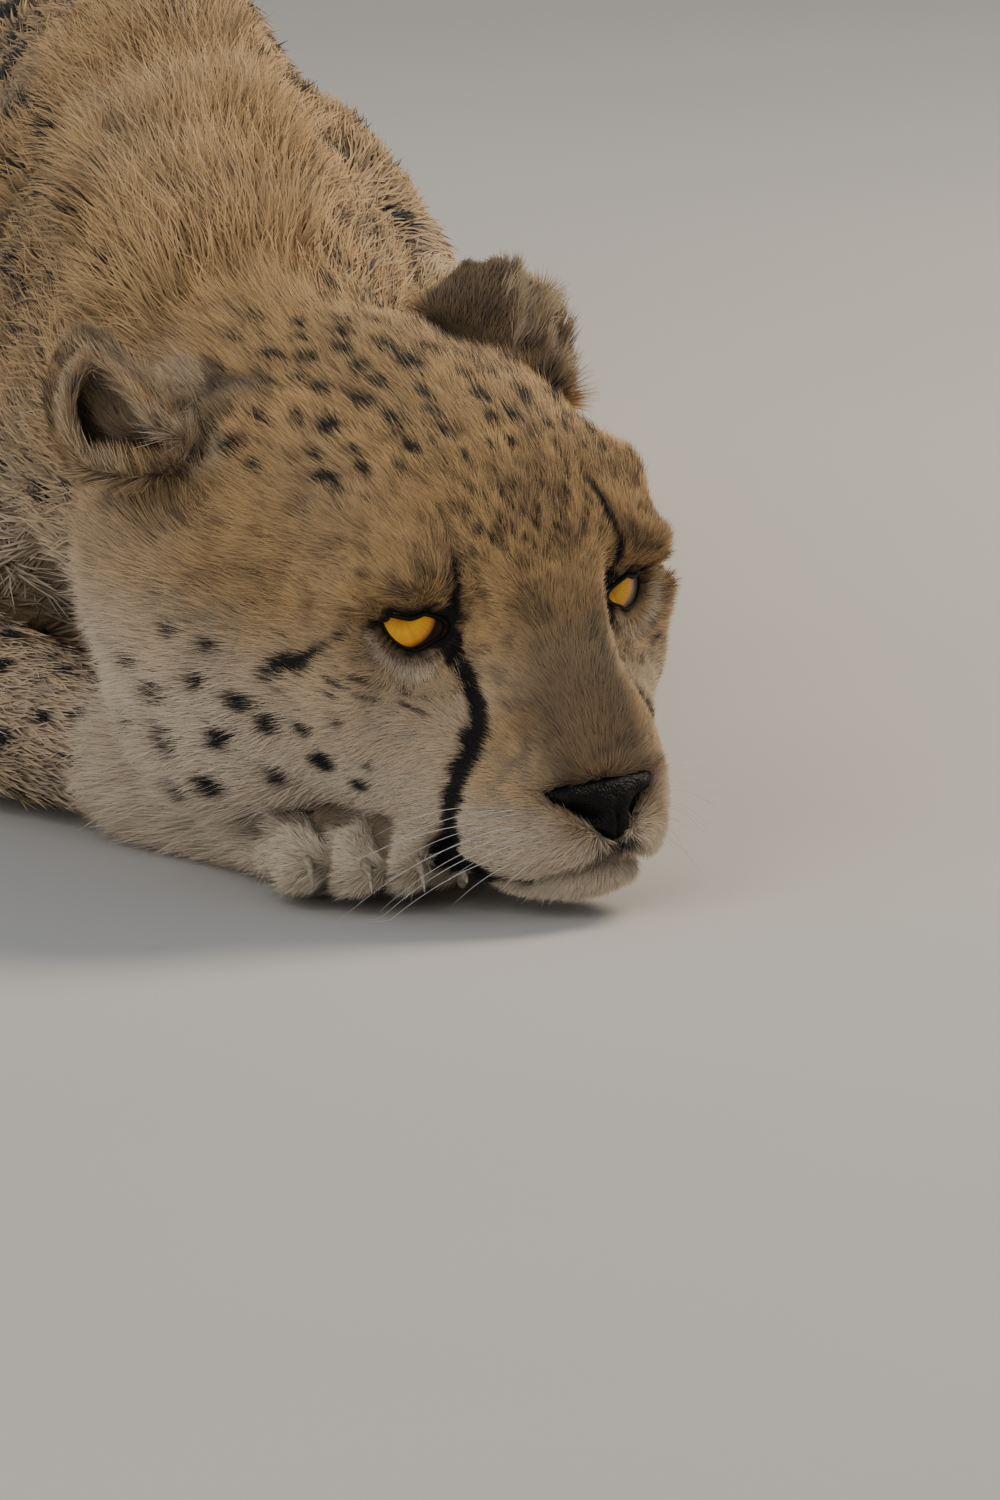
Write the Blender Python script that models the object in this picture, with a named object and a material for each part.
"""A life-size cheetah lying in a low crouch, chin on the floor, in solid pieces.

Frame: metres, +Z up, floor at z = 0. The animal faces -Y, its left side is +X, and the origin is on
the floor under the withers. Tables of sizes are in centimetres, because that is how an animal is
measured, and cm() turns them into metres.

The flesh is modelled whole, from swept sections and rounded masses that a voxel remesh fuses, and is
then parted with cuts of 0.3 mm. Forearms and hind feet are swept on their own, and the flesh is cut
back from them, because they pass under the head and the thighs.
"""

import math

import bmesh
import bpy
import numpy as np
from mathutils import Matrix, Vector

CM = 0.01
GAP = 0.0003                # between neighbouring pieces
WELD = 1e-6                 # points nearer than this are one
VOXEL = 0.005               # grain of the fused flesh
LIMB_VOXEL = 0.004
HEAD_TRIANGLES = 850
BODY_TRIANGLES = 1750
LIMB_TRIANGLES = 300

# The head's own frame: origin between the corneas, x to the left, y backwards and z up.
EYES_MIDDLE = Vector((6.2, -34.2, 8.7)) * CM
HEAD_TURN = 31.1            # degrees to the animal's left of straight ahead
HEAD_PITCH = 12.3           # degrees nose down
HEAD_TILT = 2.8             # degrees, left side higher
HEAD_REACH = 0.17           # from the frame's origin to the nape

EYE_RADIUS = 1.45
CORNEA = (4.0, -0.45, 0.0)  # front of the left eyeball
GAZE = (0.36, -0.93, 0.03)  # the way that the left socket faces
NOSE_MIDDLE = (0, -4.75, -4.55)
NOSE_RADII = (2.25, 1.15, 1.15)
NOSE_PITCH = 25             # degrees, leaning back at the top

FUR = (0.62, 0.43, 0.22, 1.0)
BLACK = (0.02, 0.018, 0.016, 1.0)
AMBER = (0.55, 0.26, 0.03, 1.0)
HORN = (0.35, 0.30, 0.24, 1.0)


def cm(*sizes):
    """A place or a size given in centimetres."""
    return Vector(sizes) * CM


# ---------------------------------------------------------------- helpers

def material(name, colour, roughness):
    """The material of this name, made on first use."""
    made = bpy.data.materials.get(name) or bpy.data.materials.new(name)
    made.use_nodes = True
    shader = made.node_tree.nodes["Principled BSDF"]
    shader.inputs["Base Color"].default_value = colour
    shader.inputs["Roughness"].default_value = roughness
    shader.inputs["Metallic"].default_value = 0.0
    made.diffuse_color = colour
    return made


def new_object(name, points, faces):
    """An object of this mesh, in metres, in the scene."""
    mesh = bpy.data.meshes.new(name)
    mesh.from_pydata([tuple(p) for p in points], [], faces)
    mesh.update()
    made = bpy.data.objects.new(name, mesh)
    bpy.context.scene.collection.objects.link(made)
    return made


def smooth_between(rows, count):
    """Rows of numbers, joined by Catmull-Rom curves and read at count even steps."""
    rows = np.array(rows, float)
    ends = np.vstack([2 * rows[0] - rows[1], rows, 2 * rows[-1] - rows[-2]])
    steps = np.linspace(0, len(rows) - 1, count)
    first = np.minimum(steps.astype(int), len(rows) - 2)
    t = (steps - first)[:, None]
    a, b, c, d = (ends[first + k] for k in range(4))
    return 0.5 * (2 * b + (c - a) * t + (2 * a - 5 * b + 4 * c - d) * t**2
                  + (3 * b - a - 3 * c + d) * t**3)


def section(width, up, down, taper, power, sides):
    """A closed outline: a superellipse with its own height above and below, narrower at the top by taper."""
    angle = np.linspace(0, 2 * math.pi, sides, endpoint=False)
    c, s = np.cos(angle), np.sin(angle)
    side = width * np.sign(c) * np.abs(c) ** (2 / power) * (1 - taper * s)
    height = np.where(s > 0, up, down) * np.sign(s) * np.abs(s) ** (2 / power)
    return side, height


def sweep(name, stations, count=36, power=2.0, upright=False, sides=28):
    """A tube through stations of (x, y, z, half width, up, down, taper) in centimetres, closed at its ends.
    Its sections stand square to its path, or all to its chord when upright."""
    rows = smooth_between(stations, count)
    centres = rows[:, :3]
    ahead = np.gradient(centres, axis=0)
    if upright:
        ahead = np.repeat([np.sign(centres[-1] - centres[0]) * (0, 1, 0)], count, axis=0)
    ahead /= np.linalg.norm(ahead, axis=1)[:, None]
    across = np.cross(ahead, (0.0, 0.0, 1.0))
    across /= np.linalg.norm(across, axis=1)[:, None]
    over = np.cross(across, ahead)
    points = []
    for centre, x, z, (_, _, _, width, up, down, taper) in zip(centres, across, over, rows):
        side, height = section(width, up, down, taper, power, sides)
        points.extend(centre + side[:, None] * x + height[:, None] * z)
    points.extend([centres[0], centres[-1]])
    faces = []
    for ring in range(count - 1):
        for k in range(sides):
            a, b = ring * sides + k, ring * sides + (k + 1) % sides
            faces.append((a, b, b + sides, a + sides))
    last, low, high = (count - 1) * sides, count * sides, count * sides + 1
    for k in range(sides):
        faces.append((low, (k + 1) % sides, k))
        faces.append((high, last + k, last + (k + 1) % sides))
    made = new_object(name, np.array(points) * CM, faces)
    face_out(made)
    return made


def face_out(obj):
    """Turns the faces of a closed mesh outwards."""
    shape = bmesh.new()
    shape.from_mesh(obj.data)
    bmesh.ops.recalc_face_normals(shape, faces=shape.faces)
    shape.to_mesh(obj.data)
    shape.free()


def mass(name, centre, radii, turn=None, segments=24):
    """An ellipsoid, centre and radii in centimetres, turned by a matrix."""
    shape = bmesh.new()
    bmesh.ops.create_uvsphere(shape, u_segments=segments, v_segments=segments * 5 // 8, radius=1.0)
    bmesh.ops.scale(shape, vec=Vector(radii) * CM, verts=shape.verts)
    bmesh.ops.transform(shape, matrix=(turn or Matrix.Identity(3)).to_4x4(), verts=shape.verts)
    bmesh.ops.translate(shape, vec=cm(*centre), verts=shape.verts)
    mesh = bpy.data.meshes.new(name)
    shape.to_mesh(mesh)
    shape.free()
    made = bpy.data.objects.new(name, mesh)
    bpy.context.scene.collection.objects.link(made)
    return made


def both_sides(make, name, *table, **options):
    """The same shape on the left (+X) and on the right."""
    made = []
    for side in (1, -1):
        mirrored = [(side * row[0], *row[1:]) for row in table]
        made.append(make(f"{name}_{side}", mirrored, **options))
    return made


def apply_modifiers(obj):
    """Makes the shape that the modifiers give the object's own."""
    graph = bpy.context.evaluated_depsgraph_get()
    mesh = bpy.data.meshes.new_from_object(obj.evaluated_get(graph))
    obj.modifiers.clear()
    obj.data = mesh
    return obj


def triangles(obj):
    obj.data.calc_loop_triangles()
    return len(obj.data.loop_triangles)


def fuse(name, pieces, voxel, rounds):
    """Joins closed pieces into one skin: a voxel remesh and a smoothing."""
    joined = bmesh.new()
    for piece in pieces:
        joined.from_mesh(piece.data)
        bpy.data.objects.remove(piece)
    mesh = bpy.data.meshes.new(name)
    joined.to_mesh(mesh)
    joined.free()
    made = bpy.data.objects.new(name, mesh)
    bpy.context.scene.collection.objects.link(made)
    remesh = made.modifiers.new("Fuse", "REMESH")
    remesh.mode = "VOXEL"
    remesh.voxel_size = voxel
    remesh.adaptivity = 0.0
    soften = made.modifiers.new("Soften", "SMOOTH")
    soften.factor = 0.5
    soften.iterations = rounds
    return apply_modifiers(made)


def thin(obj, keep, where):
    """Collapses edges until keep triangles are left among the points where() picks; the rest stay."""
    inside = [vertex.index for vertex in obj.data.vertices if where(vertex.co)]
    obj.data.calc_loop_triangles()
    chosen = set(inside)
    now = sum(1 for t in obj.data.loop_triangles if t.vertices[0] in chosen)
    group = obj.vertex_groups.new(name="thin")
    group.add(inside, 1.0, "REPLACE")
    collapse = obj.modifiers.new("Thin", "DECIMATE")
    collapse.use_collapse_triangulate = True
    collapse.ratio = (triangles(obj) - now + keep) / triangles(obj)
    collapse.vertex_group = "thin"
    apply_modifiers(obj)
    obj.vertex_groups.clear()
    return obj


def boolean(obj, cutter, operation):
    """A copy of obj after the operation with cutter."""
    made = bpy.data.objects.new("cut", obj.data.copy())
    bpy.context.scene.collection.objects.link(made)
    cut = made.modifiers.new("Cut", "BOOLEAN")
    cut.object = cutter
    cut.operation = operation
    cut.solver = "EXACT"
    bpy.context.view_layer.update()
    return apply_modifiers(made)


def grown(obj, by):
    """A copy of obj, swollen along its normals."""
    made = bpy.data.objects.new(obj.name + "_grown", obj.data.copy())
    bpy.context.scene.collection.objects.link(made)
    swell = made.modifiers.new("Swell", "DISPLACE")
    swell.strength = by
    swell.mid_level = 0.0
    bpy.context.view_layer.update()
    return apply_modifiers(made)


def block(corners):
    """A closed convex block through its corner points, in centimetres."""
    shape = bmesh.new()
    for corner in corners:
        shape.verts.new(cm(*corner))
    hull = bmesh.ops.convex_hull(shape, input=shape.verts)
    bmesh.ops.delete(shape, geom=hull["geom_interior"], context="VERTS")
    bmesh.ops.recalc_face_normals(shape, faces=shape.faces)
    mesh = bpy.data.meshes.new("block")
    shape.to_mesh(mesh)
    shape.free()
    made = bpy.data.objects.new("block", mesh)
    bpy.context.scene.collection.objects.link(made)
    return made


def drop(*objects):
    """Removes helper objects."""
    for obj in objects:
        bpy.data.objects.remove(obj)


def one_body(obj):
    """Keeps the biggest connected body of a mesh, and drops the crumbs that a cut leaves."""
    shape = bmesh.new()
    shape.from_mesh(obj.data)
    bmesh.ops.remove_doubles(shape, verts=shape.verts, dist=WELD)
    todo, bodies = set(shape.verts), []
    while todo:
        body, edge = set(), [todo.pop()]
        while edge:
            vertex = edge.pop()
            body.add(vertex)
            near = {e.other_vert(vertex) for e in vertex.link_edges} & todo
            todo -= near
            edge += near
        bodies.append(body)
    biggest = max(bodies, key=len)
    bmesh.ops.delete(shape, geom=[v for v in shape.verts if v not in biggest], context="VERTS")
    bmesh.ops.triangulate(shape, faces=shape.faces)
    shape.to_mesh(obj.data)
    shape.free()
    return obj


def cut_back(obj, other, gap=GAP):
    """obj without the space that other takes, with a gap between them."""
    wider = grown(other, gap)
    made = boolean(obj, wider, "DIFFERENCE")
    made.name = "kept"
    drop(wider, obj)
    return one_body(made)


def part_off(name, body, corners):
    """Takes the part of body inside the block as a new piece, and returns it with what is left."""
    cutter = block(corners)
    inside = boolean(body, cutter, "INTERSECT")
    inside.name = name
    wider = grown(cutter, GAP)
    rest = boolean(body, wider, "DIFFERENCE")
    drop(cutter, wider, body)
    return inside, rest


def slab(point, normal, reach=60, height=60):
    """Corners of a big block on the far side of a plane, for half-space cuts. All in centimetres."""
    ahead = Vector(normal).normalized()
    side = ahead.orthogonal().normalized()
    other = ahead.cross(side)
    start = Vector(point)
    return [start + ahead * d + side * a + other * b
            for d in (0, reach) for a in (-height, height) for b in (-height, height)]


# ---------------------------------------------------------------- head

def head_matrix():
    """The head's frame in the room: turned to the left, pitched down and tilted."""
    turn, pitch, tilt = (math.radians(a) for a in (HEAD_TURN, HEAD_PITCH, HEAD_TILT))
    forward = Vector((math.sin(turn) * math.cos(pitch), -math.cos(turn) * math.cos(pitch), -math.sin(pitch)))
    level = Vector((math.cos(turn), math.sin(turn), 0.0))
    over = forward.cross(level)
    left = level * math.cos(tilt) + over * math.sin(tilt)
    up = over * math.cos(tilt) - level * math.sin(tilt)
    turned = Matrix((left, -forward, up)).transposed()
    return Matrix.Translation(EYES_MIDDLE) @ turned.to_4x4()


HEAD = head_matrix()


def in_head(*objects):
    """Moves meshes made in the head's own frame to their place in the room."""
    for obj in objects:
        obj.data.transform(HEAD)
    return list(objects)


def skull():
    """Crown, forehead, bridge and jaw in one sweep from the nape to the lips."""
    outline = [  # y, top, widest, bottom, half width, taper
        (15.0, 2.4, -0.8, -3.6, 3.4, 0.0),
        (13.5, 4.4, -1.0, -5.6, 5.8, 0.0),
        (11.5, 5.4, -1.4, -6.8, 6.9, -0.05),
        (8.7, 5.9, -1.8, -7.4, 7.3, -0.08),
        (6.0, 5.8, -1.9, -7.6, 7.3, -0.1),
        (3.5, 5.35, -1.9, -7.6, 6.9, -0.1),
        (1.5, 4.7, -2.1, -7.6, 6.3, -0.06),
        (0.0, 3.7, -2.4, -7.6, 5.5, 0.0),
        (-1.0, 2.7, -2.7, -7.6, 4.8, 0.08),
        (-2.2, 1.2, -3.3, -7.8, 4.1, 0.1),
        (-3.0, -0.2, -3.9, -7.85, 3.7, 0.1),
        (-4.2, -2.1, -4.7, -7.7, 3.2, 0.1),
        (-5.1, -3.7, -5.1, -7.2, 2.5, 0.0),
        (-5.8, -4.6, -5.3, -6.4, 1.6, 0.0),
    ]
    stations = [(0, y, mid, width, top - mid, mid - low, taper)
                for y, top, mid, low, width, taper in outline]
    return sweep("skull", stations, count=48, power=2.4, upright=True)


def face_masses():
    """Rounded masses that lie on the sweep: chin, brows, cheekbones, jowls and lips."""
    made = [mass("chin", (0, -3.3, -6.9), (1.9, 1.8, 1.0))]
    for side in (1, -1):
        made += [
            mass("brow", (side * 3.7, 0.9, 1.8), (1.9, 1.9, 1.3)),
            mass("cheekbone", (side * 4.6, 2.2, -2.3), (1.9, 3.2, 1.8)),
            mass("jowl", (side * 4.4, 6.4, -4.7), (3.0, 5.0, 3.5)),
            mass("lip", (side * 1.5, -3.7, -5.4), (1.6, 2.1, 1.5)),
        ]
    return made


def sockets():
    """The hollows before the eyes, whose floors lie just behind the corneas."""
    made = []
    for side in (1, -1):
        gaze = Vector((side * GAZE[0], *GAZE[1:])).normalized()
        front = Vector((side * (CORNEA[0] - 0.25), *CORNEA[1:]))
        turn = Vector((0, -1, 0)).rotation_difference(gaze).to_matrix()
        made.append(mass("socket", front + gaze * 0.95, (1.6, 1.2, 1.15), turn, segments=16))
    return in_head(*made)


# ---------------------------------------------------------------- body

def neck():
    """From behind the skull to the withers."""
    return sweep("neck", [
        (0.8, -27.5, 9.6, 5.0, 5.0, 4.6, 0),
        (-0.5, -22.5, 10.8, 6.3, 6.4, 6.0, 0),
        (-0.4, -17.0, 11.8, 7.0, 7.6, 6.8, 0.1),
        (0.0, -11.0, 12.2, 7.6, 9.0, 8.0, 0.2),
        (0.0, -5.0, 11.8, 8.4, 10.6, 9.0, 0.3)])


def trunk():
    """Sections across the body axis: deep narrow chest, withers over it, thin loin, rump."""
    return sweep("trunk", [
        (0, -14.0, 9.5, 7.0, 9.0, 7.0, 0.15),
        (0, -8.0, 9.5, 8.8, 12.2, 9.7, 0.32),
        (0, -1.0, 9.5, 9.8, 14.1, 10.0, 0.44),
        (0, 8.0, 10.0, 10.2, 13.3, 10.5, 0.38),
        (0, 20.0, 10.5, 9.8, 12.0, 10.7, 0.14),
        (0, 32.0, 11.5, 8.6, 11.0, 9.6, 0.08),
        (0, 44.0, 12.5, 8.0, 10.8, 8.4, 0.06),
        (0, 55.0, 13.0, 8.2, 10.6, 8.0, 0.05),
        (0, 64.0, 13.0, 7.2, 8.8, 6.8, 0.0),
        (0, 70.0, 13.0, 4.6, 5.4, 4.8, 0.0),
        (0, 73.0, 12.6, 1.5, 2.2, 2.0, 0.0)], count=60, upright=True)


UPPER_ARM_LEFT = [
    (6.6, -11.0, 10.6, 2.2, 3.0, 3.4, 0),
    (7.6, -7.5, 9.8, 3.0, 4.2, 4.8, 0),
    (9.2, -2.0, 7.6, 3.2, 4.2, 4.6, 0),
    (10.8, 4.0, 5.8, 3.0, 3.6, 4.0, 0),
    (11.4, 9.0, 5.0, 2.2, 2.8, 3.2, 0),
]
UPPER_ARM_RIGHT = [
    (-6.6, -11.0, 10.6, 2.2, 3.0, 3.4, 0),
    (-7.8, -7.5, 9.8, 3.0, 4.2, 4.8, 0),
    (-9.8, -4.0, 7.6, 3.2, 4.2, 4.6, 0),
    (-12.0, 0.0, 5.8, 3.0, 3.6, 4.0, 0),
    (-13.0, 3.5, 5.0, 2.2, 2.8, 3.2, 0),
]


def shoulders_and_haunches():
    """The masses of the limbs that lie against the trunk."""
    made = []
    for side in (1, -1):
        lean = Matrix.Rotation(math.radians(side * -24), 3, "Y")
        made += [
            mass("shoulder_blade", (side * 6.6, -0.5, 13.6), (2.9, 7.2, 7.4), lean),
            mass("shoulder_point", (side * 7.3, -7.0, 10.4), (3.3, 5.4, 5.2)),
        ]
    made += [sweep("upper_arm", route, count=24) for route in (UPPER_ARM_LEFT, UPPER_ARM_RIGHT)]
    made += both_sides(sweep, "thigh", *[
        (5.6, 66.0, 14.6, 2.6, 3.4, 5.5, 0),
        (6.0, 59.0, 13.4, 4.0, 5.6, 7.6, 0),
        (6.8, 50.0, 11.4, 4.2, 5.8, 7.2, 0),
        (8.4, 42.5, 9.0, 4.0, 4.9, 5.4, 0),
        (9.9, 37.0, 7.2, 3.3, 3.8, 4.2, 0),
        (10.2, 34.5, 6.4, 1.9, 2.2, 2.6, 0)], count=28)
    made += both_sides(sweep, "shank", *[
        (10.2, 38.0, 6.4, 2.8, 3.4, 3.8, 0),
        (11.0, 50.0, 6.2, 2.7, 2.9, 3.2, 0),
        (11.4, 62.0, 5.4, 2.0, 2.0, 2.6, 0),
        (11.4, 67.5, 4.6, 1.3, 1.4, 1.8, 0)], count=20)
    return made


def tail():
    """From the rump down to the floor and round to the animal's right, thickest at its brush."""
    return sweep("tail", [
        (0, 66, 15.0, 3.4, 3.4, 3.4, 0),
        (-0.4, 73, 12.6, 2.8, 2.8, 2.8, 0),
        (-1.6, 80, 7.6, 2.45, 2.45, 2.45, 0),
        (-4.5, 87, 3.8, 2.3, 2.3, 2.4, 0),
        (-11, 95, 2.1, 2.2, 2.2, 2.3, 0),
        (-22, 100.5, 2.0, 2.1, 2.1, 2.2, 0),
        (-34, 99.0, 2.0, 2.1, 2.1, 2.2, 0),
        (-43, 91.0, 2.1, 2.3, 2.3, 2.3, 0),
        (-47.5, 81.0, 2.2, 2.4, 2.4, 2.4, 0),
        (-48.5, 75, 2.0, 1.5, 1.5, 2.1, 0),
        (-48.6, 73.6, 1.8, 0.5, 0.5, 1.2, 0)], count=88)


def everywhere(_):
    return True


def in_front(point):
    """The head and the throat, which keep a finer grain."""
    return (point - HEAD.translation).length < HEAD_REACH


def toe_places(tip, ahead, spread, size):
    """The middles of four toes side by side, the middle two ahead, with the way that they point."""
    ahead = Vector(ahead).normalized()
    across = Vector((-ahead.y, ahead.x, 0))
    return ahead, [Vector(tip) - ahead * (size * 1.5 + back) + across * place * spread
                   for place, back in ((-1.5, 1.3), (-0.5, 0.2), (0.5, 0.0), (1.5, 1.1))]


def toes(tip, ahead, spread, size):
    """Four ovals at the end of a foot."""
    ahead, places = toe_places(tip, ahead, spread, size)
    turn = Vector((0, -1, 0)).rotation_difference(ahead).to_matrix()
    return [mass("toe", place, (size * 0.86, size * 1.75, size * 1.12), turn) for place in places]


def claw(root, ahead, size):
    """A curved cone from the toe, forwards and down."""
    ahead = Vector(ahead).normalized()
    stations = []
    for k in range(4):
        t = k / 3
        centre = Vector(root) + ahead * (size * t) + Vector((0, 0, -0.42 * size * t * t))
        r = 0.26 * (1 - t) ** 0.8 + 0.03
        stations.append((*centre, r * 0.75, r, r, 0))
    return sweep("claw", stations, count=4, sides=5)


def claws(word, tip, ahead, spread, size, dewclaw=None):
    """One claw out of the end of each toe, and the dewclaw at the inner side of the wrist."""
    ahead, places = toe_places(tip, ahead, spread, size)
    from_toe = ahead * size * 1.35 + Vector((0, 0, 0.2 * size))
    made = {f"claw_{word}_{k + 1}": claw(place + from_toe, ahead, size * 1.5)
            for k, place in enumerate(places)}
    if dewclaw:
        made[f"dewclaw_{word}"] = claw(dewclaw, ahead, size * 1.5)
    return made


def limb_of(route, foot):
    """A forearm or a hind foot, with its toes, fused."""
    pieces = [sweep("limb", route, count=40), *toes(*foot)]
    return thin(fuse("limb", pieces, LIMB_VOXEL, 3), LIMB_TRIANGLES, everywhere)


def hind_limb_of(side, foot):
    """The hind foot lies flat from the hock to the toes."""
    route = [(side * x, y, z, w, up, down, 0) for x, y, z, w, up, down in (
        (11.1, 70.0, 3.6, 0.7, 0.8, 1.3),
        (11.2, 68.8, 3.4, 1.6, 1.7, 2.5),
        (11.5, 65.0, 2.6, 2.0, 2.1, 2.7),
        (12.0, 55.0, 1.8, 1.8, 1.8, 2.1),
        (12.8, 45.0, 1.7, 2.1, 1.7, 2.0),
        (13.2, 40.5, 1.6, 2.7, 1.5, 1.9),
        (13.35, 37.4, 1.4, 2.5, 1.1, 1.6))]
    return limb_of(route, foot)


# ---------------------------------------------------------------- ears, eyes, nose, claws

EAR_MIDDLE = (8.0, 8.6, 4.3)
EAR_OPENS = (0.75, -0.64, 0.12)
EAR_RISES = (0.45, 0.25, 0.85)
EAR_WIDTH, EAR_HEIGHT, EAR_DEPTH, EAR_WALL = 2.3, 2.25, 3.9, 0.55


def ear(name, side):
    """A bowl with a thick wall and a rounded rim, which opens forwards and outwards."""
    rings, around = 5, 18
    outer = [(math.sin(a) ** 0.7, -math.cos(a)) for a in np.linspace(0, math.pi / 2, rings)]
    thin = EAR_WALL / EAR_HEIGHT
    profile = outer + [(1 - thin / 2, 0.1)] + [((1 - thin) * r, (1 - thin) * h) for r, h in outer[::-1]]
    opens = Vector((side * EAR_OPENS[0], *EAR_OPENS[1:])).normalized()
    rises = Vector((side * EAR_RISES[0], *EAR_RISES[1:]))
    rises = (rises - opens * rises.dot(opens)).normalized()
    across = rises.cross(opens)
    centre = Vector((side * EAR_MIDDLE[0], *EAR_MIDDLE[1:]))
    points, faces = [], []
    for r, h in profile:
        for k in range(around):
            a = 2 * math.pi * k / around
            points.append(centre + across * (EAR_WIDTH * r * math.cos(a))
                          + rises * (EAR_HEIGHT * r * math.sin(a)) + opens * (EAR_DEPTH * h))
    rows = len(profile)
    for i in range(rows - 1):
        for k in range(around):
            n = (k + 1) % around
            faces.append((i * around + k, i * around + n, (i + 1) * around + n, (i + 1) * around + k))
    made = new_object(name, [p * CM for p in points], faces)
    shape = bmesh.new()
    shape.from_mesh(made.data)
    bmesh.ops.remove_doubles(shape, verts=shape.verts, dist=WELD)
    shape.to_mesh(made.data)
    shape.free()
    face_out(made)
    in_head(made)
    return made


def eyeball(name, side):
    """A ball whose front pole is the cornea's top."""
    gaze = Vector((side * GAZE[0], *GAZE[1:])).normalized()
    front = Vector((side * CORNEA[0], *CORNEA[1:]))
    centre = front - gaze * EYE_RADIUS
    turn = Vector((0, 0, 1)).rotation_difference(gaze).to_matrix()
    made = mass(name, centre, (EYE_RADIUS,) * 3, turn, segments=12)
    in_head(made)
    return made


def nose_pad():
    """The wide oval of bare leather at the tip of the muzzle."""
    made = mass("nose_pad", NOSE_MIDDLE, NOSE_RADII, Matrix.Rotation(-math.radians(NOSE_PITCH), 3, "X"),
                segments=16)
    in_head(made)
    return made


# ---------------------------------------------------------------- the whole animal

def whole_flesh():
    """Head, neck, trunk, tail and upper limbs as one closed skin."""
    pieces = in_head(skull(), *face_masses()) + [neck(), trunk(), tail()] + shoulders_and_haunches()
    flesh = fuse("flesh", pieces, VOXEL, 4)
    for hollow in sockets():
        flesh = cut_back(flesh, hollow, 0.0)
        drop(hollow)
    flesh = fuse("flesh", [flesh], VOXEL, 3)
    thin(flesh, BODY_TRIANGLES, lambda point: not in_front(point))
    return thin(flesh, HEAD_TRIANGLES, in_front)


def stand_on_floor(obj):
    """Everything below the floor is cut away flat."""
    under = block([(x, y, z) for x in (-90, 90) for y in (-90, 160) for z in (-30, 0)])
    made = boolean(obj, under, "DIFFERENCE")
    made.name = obj.name + "_"
    drop(under, obj)
    return one_body(made)


RIGHT_FORELIMB = [
    (-13.5, 7.0, 4.6, 1.0, 1.6, 1.6, 0),
    (-13.4, 5.2, 4.6, 2.4, 3.4, 3.4, 0),
    (-13.0, 1.0, 4.4, 3.2, 3.9, 4.2, 0),
    (-11.2, -8.0, 4.0, 3.0, 3.4, 3.8, 0),
    (-7.4, -16.3, 3.3, 2.6, 2.9, 3.2, 0),
    (-3.4, -22.3, 2.7, 2.3, 2.4, 2.6, 0),
    (-0.4, -27.0, 2.1, 2.5, 2.1, 2.1, 0),
    (1.3, -30.8, 1.8, 2.8, 1.8, 1.9, 0),
    (2.0, -33.2, 1.5, 2.6, 1.4, 1.6, 0),
]
LEFT_FORELIMB = [
    (12.0, 15.2, 4.8, 1.0, 1.6, 1.6, 0),
    (12.0, 13.5, 4.8, 2.4, 3.4, 3.4, 0),
    (12.0, 9.0, 4.6, 3.2, 3.9, 4.2, 0),
    (11.5, 0.0, 4.0, 3.0, 3.4, 3.8, 0),
    (10.4, -8.5, 3.3, 2.5, 2.8, 3.2, 0),
    (9.2, -15.5, 2.6, 2.2, 2.2, 2.6, 0),
    (8.5, -20.5, 2.0, 2.5, 1.9, 2.0, 0),
    (8.1, -24.5, 1.6, 2.7, 1.5, 1.7, 0),
    (8.0, -27.5, 1.4, 2.4, 1.2, 1.5, 0),
]

FEET = {  # tip of the toes, the way they point, spacing and size
    "fore_right": ((2.2, -36.8, 1.5), (0.14, -1, 0), 1.5, 1.05),
    "fore_left": ((8.0, -30.8, 1.3), (-0.03, -1, 0), 1.45, 1.0),
    "hind_right": ((-13.4, 35.5, 1.25), (-0.05, -1, 0), 1.42, 1.0),
    "hind_left": ((13.4, 35.5, 1.25), (0.05, -1, 0), 1.42, 1.0),
}
WRISTS = {"right": ((-2.8, -23.4, 0), (0.45, -1, 0)), "left": ((9.0, -17, 0), (-0.1, -1, 0))}
DEWCLAWS = {"fore_right": (3.4, -27.5, 1.0), "fore_left": (6.0, -22.0, 1.0)}


def planes():
    """The cuts that part the flesh, as (node, block of corners), from the head back to the tail's tip."""
    nape = Vector((-0.6, -24.5, 11.0))
    forward = -HEAD.to_3x3().col[1]
    return [
        ("head", slab(nape, forward + Vector((0, 0, 0.25)))),
        ("tail_tip", slab((-30, 99, 0), (-1, -0.25, 0), height=40)),
        ("tail_mid", slab((-7.5, 92, 0), (-1, 0.9, 0))),
        ("tail_base", slab((0, 71, 14), (0, 1, -0.45))),
        ("neck", slab((0, -13, 10), (0, -1, 0.1))),
    ]


def beside(side, inner, outer, y, z):
    """Corners of a block beside the trunk; inner and outer are distances from the middle."""
    return [(side * a, b, c) for a in (inner, outer) for b in y for c in z]


def part_flesh(flesh):
    """The pieces that the cuts make of the flesh. What is left at the end is the chest."""
    nodes = {}
    for name, corners in planes():
        nodes[name], flesh = part_off(name, flesh, corners)
    for word, side in (("left", 1), ("right", -1)):
        arm = beside(side, 7.2, 30, (-30, 9.5), (-1, 12.0))
        nodes[f"upper_arm_{word}"], flesh = part_off("arm", flesh, arm)
        thigh = beside(side, 6.6, 30, (33, 72), (-1, 19.5))
        nodes[f"thigh_{word}"], flesh = part_off("thigh", flesh, thigh)
    nodes["rump"], flesh = part_off("rump", flesh, slab((0, 49, 0), (0, 1, 0)))
    nodes["loin"], nodes["chest"] = part_off("loin", flesh, slab((0, 27, 0), (0, 1, 0)))
    return nodes


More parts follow.
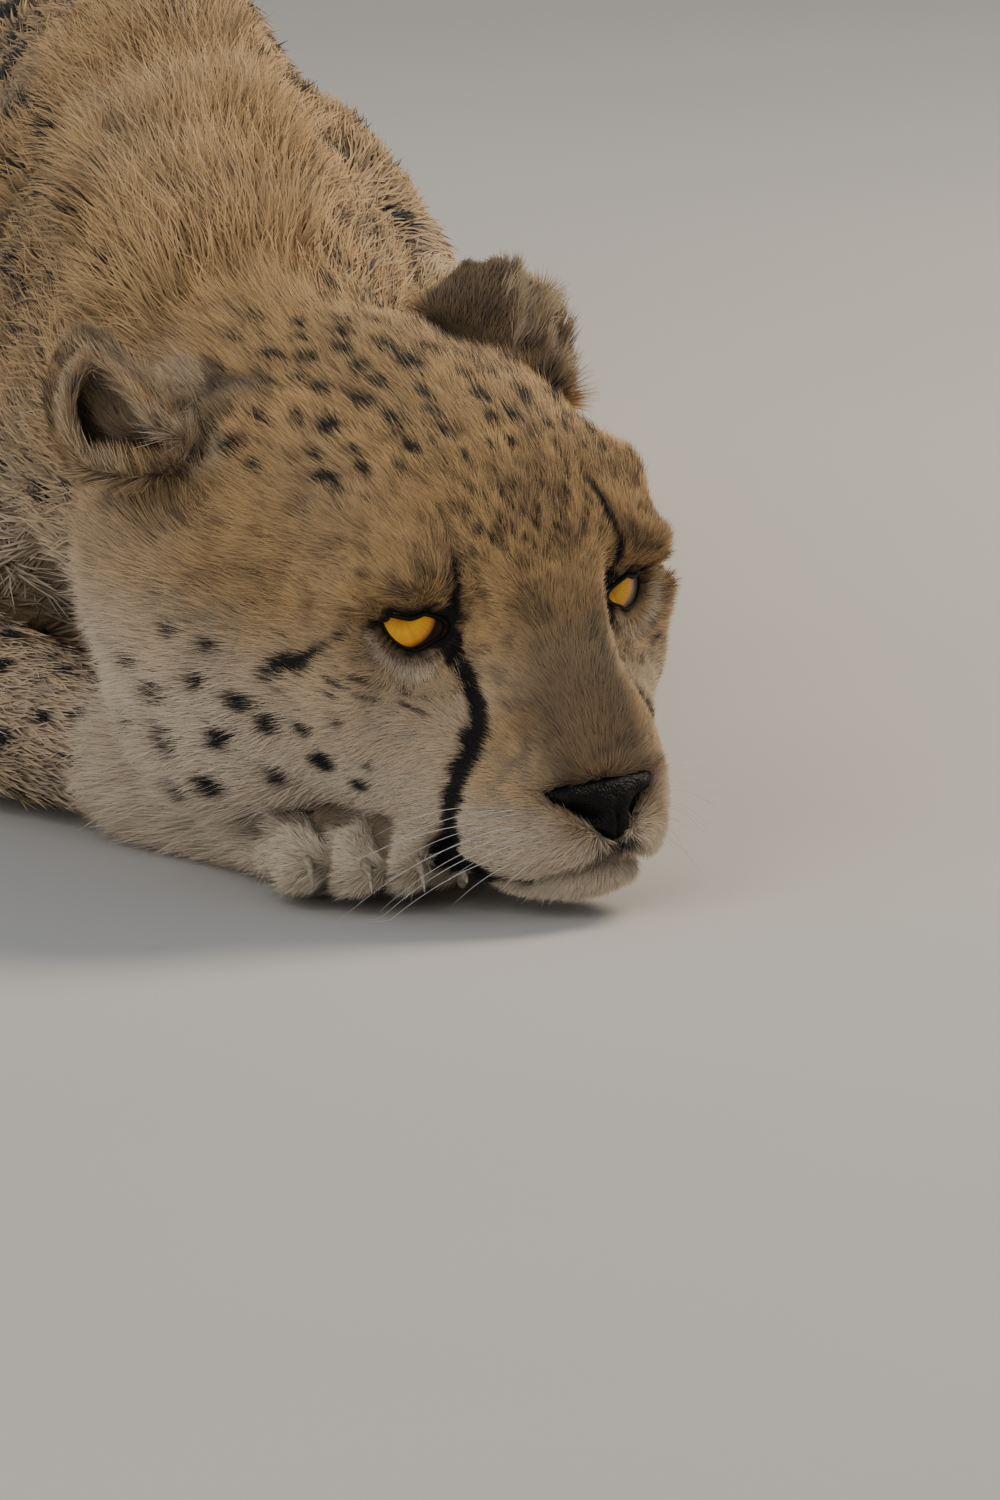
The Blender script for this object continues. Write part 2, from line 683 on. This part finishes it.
def part_limb(limb, near, far, corners):
    """A limb in two pieces, the far one inside the block."""
    inside, rest = part_off(far, limb, corners)
    return {far: inside, near: rest}


def paint(nodes):
    """Gives each piece its material and shades it smooth."""
    looks = {"eye": material("amber eye", AMBER, 0.1), "nose": material("nose leather", BLACK, 0.45),
             "claw": material("claw horn", HORN, 0.35), "dewclaw": material("dewclaw horn", HORN, 0.35)}
    fur = material("fur", FUR, 0.9)
    for name, obj in nodes.items():
        obj.data.materials.clear()
        obj.data.materials.append(looks.get(name.split("_")[0], fur))
        obj.data.shade_smooth()
        obj.data.set_sharp_from_angle(angle=math.radians(50))


def build():
    """Makes the limbs and the flesh, cuts each back from its neighbours, and parts and names the pieces."""
    for old in list(bpy.data.objects):
        bpy.data.objects.remove(old)

    limbs = {
        "fore_right": stand_on_floor(limb_of(RIGHT_FORELIMB, FEET["fore_right"])),
        "fore_left": stand_on_floor(limb_of(LEFT_FORELIMB, FEET["fore_left"])),
        "hind_right": stand_on_floor(hind_limb_of(-1, FEET["hind_right"])),
        "hind_left": stand_on_floor(hind_limb_of(1, FEET["hind_left"])),
    }
    flesh = stand_on_floor(whole_flesh())
    for limb in limbs.values():
        flesh = cut_back(flesh, limb)

    nodes = {"nose_pad": nose_pad()}
    flesh = cut_back(flesh, nodes["nose_pad"])
    for word, side in (("left", 1), ("right", -1)):
        nodes[f"eye_{word}"] = eyeball(f"eye_{word}", side)
        flesh = cut_back(flesh, nodes[f"eye_{word}"])
        nodes[f"ear_{word}"] = cut_back(ear(f"ear_{word}", side), flesh)
    for word, limb in limbs.items():
        for name, obj in claws(word, *FEET[word], DEWCLAWS.get(word)).items():
            nodes[name] = stand_on_floor(cut_back(cut_back(obj, limb), flesh))

    nodes |= part_flesh(flesh)
    for word, (wrist, ahead) in WRISTS.items():
        nodes |= part_limb(limbs[f"fore_{word}"], f"forearm_{word}", f"fore_paw_{word}", slab(wrist, ahead))
    nodes |= {"hind_foot_right": limbs["hind_right"], "hind_foot_left": limbs["hind_left"]}
    for name, obj in nodes.items():
        one_body(obj).name = name
    paint(nodes)


build()
